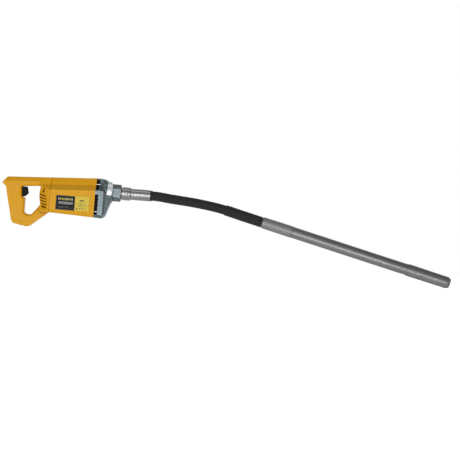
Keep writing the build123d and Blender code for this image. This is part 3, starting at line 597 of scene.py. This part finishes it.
def coil_mesh(name, start, end, radius, wire, turns):
    """A compression spring wound round the line from start to end, its wire ends cut square."""
    mesh = bpy.data.meshes.new(name)
    work = bmesh.new()
    axis = end - start
    along = axis.normalized()
    first = along.orthogonal().normalized()
    second = along.cross(first)
    steps = int(turns * COIL_STEPS)
    sides = COIL_SIDES
    rings = []
    for i in range(steps + 1):
        angle = 2 * math.pi * turns * i / steps
        outward = first * math.cos(angle) + second * math.sin(angle)
        middle = start + along * wire + (axis - 2 * wire * along) * (i / steps) + outward * (radius - wire)
        rings.append([work.verts.new(middle + wire * (outward * math.cos(2 * math.pi * k / sides)
                                                      + along * math.sin(2 * math.pi * k / sides)))
                      for k in range(sides)])
    for here, there in zip(rings, rings[1:]):
        for k in range(sides):
            after = (k + 1) % sides
            work.faces.new([here[k], here[after], there[after], there[k]])
    work.faces.new(rings[0])
    work.faces.new(rings[-1])
    bmesh.ops.recalc_face_normals(work, faces=work.faces)
    work.to_mesh(mesh)
    work.free()
    return mesh


# ---- hose -----------------------------------------------------------------------------------------
def wrapped(radius, depth=0.0002, pitch=0.055):
    """A radius with the shallow spiral step that wrapping leaves on a hose."""
    def at(distance, turn):
        return radius - depth * ((distance / pitch + turn) % 1.0)
    return at


def stranded(radius, strands, pitch, depth):
    """A radius with helical grooves between wound strands."""
    def at(distance, turn):
        return radius - depth * (1 - abs(math.sin(math.pi * (strands * turn + distance / pitch))))
    return at


def hinge_zone(piece):
    """Bakes the piece's placement into its mesh."""
    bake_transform(piece)


def add_hose():
    """The rubber hose in two spans, its guard, its steel liner and the flexible shaft inside."""
    rear = spline_points(REAR_ROUTE)
    front = spline_points(FRONT_ROUTE)
    rear_low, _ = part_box("liner_rear")
    shaft_low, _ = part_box("flex_shaft_rear")
    head_way = (front[-1] - front[-2]).normalized()
    for name, line, behind, ahead, zone in (
            ("rear", rear, "root", "hose_middle", REAR_HINGE_ZONE),
            ("front", front, "hose_middle", "poker", FRONT_HINGE_ZONE)):
        mesh = tube_mesh("hose_" + name, evenly(line, HOSE_STEP), wrapped(HOSE_R), HOSE_BORE_R, 64)
        hose = new_piece("rubber_hose_" + name, mesh, None, "black_rubber")
        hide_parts("hose_" + name)
        liner_line = [Vector((rear_low.x, 0, line[0].z))] + line
        shaft_line = [Vector((shaft_low.x, 0, line[0].z))] + line
        if name == "front":
            liner_line = line + [line[-1] + head_way * LINER_PAST_HOSE]
            shaft_line = line + [line[-1] + head_way * SHAFT_PAST_HOSE]
        mesh = tube_mesh("liner_" + name, evenly(liner_line, WOUND_STEP),
                         stranded(LINER_R, 1, 0.004, 0.0007), LINER_BORE_R, 24)
        liner = new_piece("wound_liner_" + name, mesh, None, "liner_steel")
        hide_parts("liner_" + name)
        mesh = tube_mesh("shaft_" + name, evenly(shaft_line, WOUND_STEP),
                         stranded(FLEX_R, 6, 0.05, 0.0006), None, 36)
        shaft = new_piece("flexible_shaft_" + name, mesh, None, "machined_steel",
                          MATERIALS["liner_steel"])
        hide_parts("flex_shaft_" + name)
        for piece in (hose, liner, shaft):
            hinge_zone(piece)
    guard = add_guard(front)


GUARD_END_DROP = 0.0011               # how far the guard's ends are drawn in


def add_guard(front):
    """The thicker rubber cover at the head end of the hose, with softened ends."""
    low, high = GUARD_SPAN
    line = evenly([p for p in evenly(front, 0.001) if low <= p.x <= high], 0.001)
    length = sum((b - a).length for a, b in zip(line, line[1:]))
    spiral = wrapped(GUARD_R)

    def radius(distance, turn):
        ease = min(1.0, distance / 0.004, (length - distance) / 0.0015 + 0.4)
        return spiral(distance, turn) - GUARD_END_DROP * (1 - math.sin(math.pi / 2 * ease))

    guard = new_piece("rubber_hose_guard", tube_mesh("guard", line, radius, HOSE_R + 0.0003, 64),
                      None, "black_rubber")
    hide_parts("hose_guard")
    hinge_zone(guard)
    return guard


COLLAR_R = 0.0143
COLLAR_SWELL = 0.0011
COLLAR_LENGTH = 0.006
COLLAR_GAP = 0.0003                   # clear of the ferrule's end face


def add_collar():
    """The hose's swollen lip where it comes out of the ferrule."""
    x, z = FERRULE_END
    line = [Vector((x + COLLAR_GAP + COLLAR_LENGTH * i / 12, 0, z)) for i in range(13)]

    def radius(distance, turn):
        return COLLAR_R + COLLAR_SWELL * math.cos(math.pi / 2 * distance / COLLAR_LENGTH) ** 0.6

    mesh = tube_mesh("collar", line, radius, HOSE_R + 0.00005, 64)
    new_piece("hose_collar", mesh, "root", "black_rubber")


def add_spring(part, name, axis, radius, wire, turns):
    """A coil in place of a spring part. It lies along axis (0 is X, 1 is Y) and rides on the root
    body."""
    low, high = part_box(part)
    start = (low + high) / 2
    end = start.copy()
    start[axis], end[axis] = low[axis], high[axis]
    coil = new_piece(name + "_spring", coil_mesh(name, start, end, radius, wire, turns), "root",
                     "liner_steel")
    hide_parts(part)
    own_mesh(coil)


def add_springs():
    add_spring("trigger_spring", "trigger_coil", 0, 0.0044, 0.0004, 8)
    add_spring("lock_spring", "lock_coil", 1, 0.0032, 0.00025, 4)


# ---- plate marks ----------------------------------------------------------------------------------
MARK_RISE = 0.00015                   # how far the print stands proud of its plate


def flat_shape(work, outline, y):
    """A thin slab with a closed (X, Z) outline that stands MARK_RISE proud of the plate at y."""
    front = [work.verts.new((x, y - MARK_RISE, z)) for x, z in outline]
    back = [work.verts.new((x, y, z)) for x, z in outline]
    work.faces.new(front)
    work.faces.new(list(reversed(back)))
    for i in range(len(outline)):
        j = (i + 1) % len(outline)
        work.faces.new([front[i], back[i], back[j], front[j]])


def bar_outline(x0, x1, z0, z1, corner=0.0003):
    """A rectangle with cut corners."""
    points = []
    for x, z, dx, dz in ((x0, z0, 1, 1), (x1, z0, -1, 1), (x1, z1, -1, -1), (x0, z1, 1, -1)):
        first = (x + dx * corner, z)
        second = (x, z + dz * corner)
        points += [second, first] if dx * dz > 0 else [first, second]
    return points


def round_outline(x, z, rx, rz, sides=24, start=0.0):
    """An ellipse, or a polygon when it has few sides."""
    angles = [start + 2 * math.pi * i / sides for i in range(sides)]
    return [(x + rx * math.cos(a), z + rz * math.sin(a)) for a in angles]


def add_marks(name, outlines, y, slot, material):
    """One piece made of several flat shapes on the plate at y."""
    mesh = bpy.data.meshes.new(name)
    work = bmesh.new()
    for outline in outlines:
        flat_shape(work, outline, y)
    bmesh.ops.recalc_face_normals(work, faces=work.faces)
    work.to_mesh(mesh)
    work.free()
    new_piece(name, mesh, "root", slot, material)
    mesh.set_sharp_from_angle(angle=math.radians(30))


def add_rating_marks():
    """Plain bars and fields in place of the rating plate's print."""
    low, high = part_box("rating_plate")
    x0, x1, z0, z1 = low.x, high.x, low.z, high.z
    width = x1 - x0
    height = z1 - z0
    rim = 0.0007
    frame_bars = [bar_outline(x0 + rim, x1 - rim, z, z + rim) for z in (z0 + rim, z1 - 2 * rim)]
    frame_bars += [bar_outline(x, x + rim, z0 + rim, z1 - rim) for x in (x0 + rim, x1 - 2 * rim)]
    for indent, foot in ((0.1, 0.15), (0.3, 0.23)):
        frame_bars.append(bar_outline(x0 + 0.1 * width, x1 - indent * width,
                                      z0 + foot * height, z0 + (foot + 0.02) * height))
    add_marks("rating_plate_lines", frame_bars, low.y, "rating_label",
              print_ink("grey_ink", rgb(88, 90, 90)))
    band = [bar_outline(x0 + 0.14 * width, x1 - 0.1 * width,
                        z0 + 0.4 * height, z0 + 0.58 * height, 0.0008)]
    add_marks("rating_plate_band", band, low.y, "rating_label",
              print_ink("silver_ink", rgb(118, 118, 122)))
    yellow = []
    white = []
    for i in range(9):
        left = x0 + (0.12 + 0.088 * i) * width
        bar = bar_outline(left, left + 0.06 * width, z0 + 0.69 * height, z0 + 0.84 * height)
        (white if i in (0, 5, 8) else yellow).append(bar)
    add_marks("rating_plate_yellow_marks", yellow, low.y, "rating_label",
              print_ink("yellow_ink", rgb(176, 160, 40)))
    add_marks("rating_plate_white_marks", white, low.y, "rating_label",
              print_ink("white_ink", rgb(172, 172, 168)))


def add_info_marks():
    """An oval, rows of thin bars and four plain shapes in place of the info plate's print."""
    low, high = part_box("info_plate")
    x0, x1, z0, z1 = low.x, high.x, low.z, high.z
    width = x1 - x0
    height = z1 - z0
    centre = (x0 + x1) / 2
    dark = [round_outline(centre - 0.02 * width, z0 + 0.7 * height, 0.16 * width, 0.045 * height)]
    for i, sides in enumerate((24, 4, 6, 3)):
        x = x0 + (0.16 + 0.2 * i) * width
        dark.append(round_outline(x, z0 + 0.14 * height, 0.05 * width, 0.05 * height, sides, math.pi / 2))
    add_marks("info_plate_shapes", dark, low.y, "info_label",
              print_ink("dark_ink", rgb(52, 48, 26)))
    faint = []
    for i, share in enumerate((0.62, 0.7, 0.56, 0.68, 0.5)):
        z = z0 + (0.3 + 0.06 * i) * height
        faint.append(bar_outline(centre - share * width / 2, centre + share * width / 2,
                                 z, z + 0.022 * height, 0.0002))
    add_marks("info_plate_lines", faint, low.y, "info_label",
              print_ink("olive_ink", rgb(150, 140, 44)))


# ---- surroundings ---------------------------------------------------------------------------------
FLOOR_DROP = 0.95                     # from the object's lowest point to the floor
FLOOR_REACH = 30
FLOOR_WHITENS = (1.0, 2.7)            # Y over which the floor turns white behind the object
FLOOR_GLOW = 0.9
LIGHTS = (                            # name, place, size in metres, power in watts
    ("front_softbox", (-0.2, -2.3, 0.35), (2.0, 0.4), 8),
    ("low_strip", (0.4, -2.0, -0.42), (2.6, 0.12), 16),
    ("top_softbox", (0.2, -0.6, 2.2), (1.8, 1.0), 5),
    ("back_softbox", (0.4, 1.9, 1.3), (2.6, 0.9), 10),
)


def add_floor():
    """A wide floor far below the object, grey in front and white behind."""
    mesh = bpy.data.meshes.new("floor")
    z = CAD_BOX[0].z - FLOOR_DROP
    corners = ((-1, -1), (1, -1), (1, 1), (-1, 1))
    mesh.from_pydata([(FLOOR_REACH * x, FLOOR_REACH * y, z) for x, y in corners], [], [(0, 1, 2, 3)])
    f = Finish("pale_floor", Roughness=0.85)
    behind = f.spread(f.along("Y"), *FLOOR_WHITENS, 0.3, 1.0)
    tone = f.mix(f.noise(2.0, 2), rgb(192, 192, 192), rgb(200, 200, 200))
    f.shader.inputs["Emission Color"].default_value = (1, 1, 1, 1)
    f.tree.links.new(f.times(behind, FLOOR_GLOW), f.shader.inputs["Emission Strength"])
    mesh.materials.append(f.apply(f.mix(behind, tone, rgb(244, 244, 244))))
    floor = bpy.data.objects.new("floor", mesh)
    bpy.context.scene.collection.objects.link(floor)


def add_world():
    """A surround that is white behind the object and dimmer at the sides, in front and overhead."""
    world = bpy.data.worlds.new("studio")
    bpy.context.scene.world = world
    world.use_nodes = True
    tree = world.node_tree
    where = tree.nodes.new("ShaderNodeTexCoord").outputs["Generated"]
    split = tree.nodes.new("ShaderNodeSeparateXYZ")
    tree.links.new(where, split.inputs[0])
    strengths = []
    for axis, start, end, first, last in (("Y", 0.3, 0.85, 0.6, 1.0), ("Z", 0.22, 0.75, 1.0, 0.45)):
        ramp = tree.nodes.new("ShaderNodeMapRange")
        for socket, value in (("From Min", start), ("From Max", end), ("To Min", first), ("To Max", last)):
            ramp.inputs[socket].default_value = value
        tree.links.new(split.outputs[axis], ramp.inputs["Value"])
        strengths.append(ramp.outputs[0])
    both = tree.nodes.new("ShaderNodeMath")
    both.operation = "MULTIPLY"
    tree.links.new(strengths[0], both.inputs[0])
    tree.links.new(strengths[1], both.inputs[1])
    background = tree.nodes["Background"]
    tree.links.new(both.outputs[0], background.inputs["Strength"])
    background.inputs["Color"].default_value = (1, 1, 1, 1)


def add_softbox(name, place, aim, extent, power):
    """A rectangular light that the camera doesn't see."""
    data = bpy.data.lights.new(name, "AREA")
    data.shape = "RECTANGLE"
    data.size, data.size_y = extent
    data.energy = power
    light = bpy.data.objects.new(name, data)
    bpy.context.scene.collection.objects.link(light)
    light.location = place
    way = Vector(aim) - Vector(place)
    light.rotation_euler = way.to_track_quat("-Z", "Y").to_euler()
    light.visible_camera = False


def add_lights():
    middle = (CAD_BOX[0] + CAD_BOX[1]) / 2
    for name, place, extent, power in LIGHTS:
        add_softbox(name, place, middle, extent, power)
    bpy.context.scene.view_settings.view_transform = "Standard"


# ---- assembly -------------------------------------------------------------------------------------
add_camera()
add_hose()
add_collar()
dress_frame_parts()
add_springs()
add_rating_marks()
add_info_marks()
add_floor()
add_world()
add_lights()
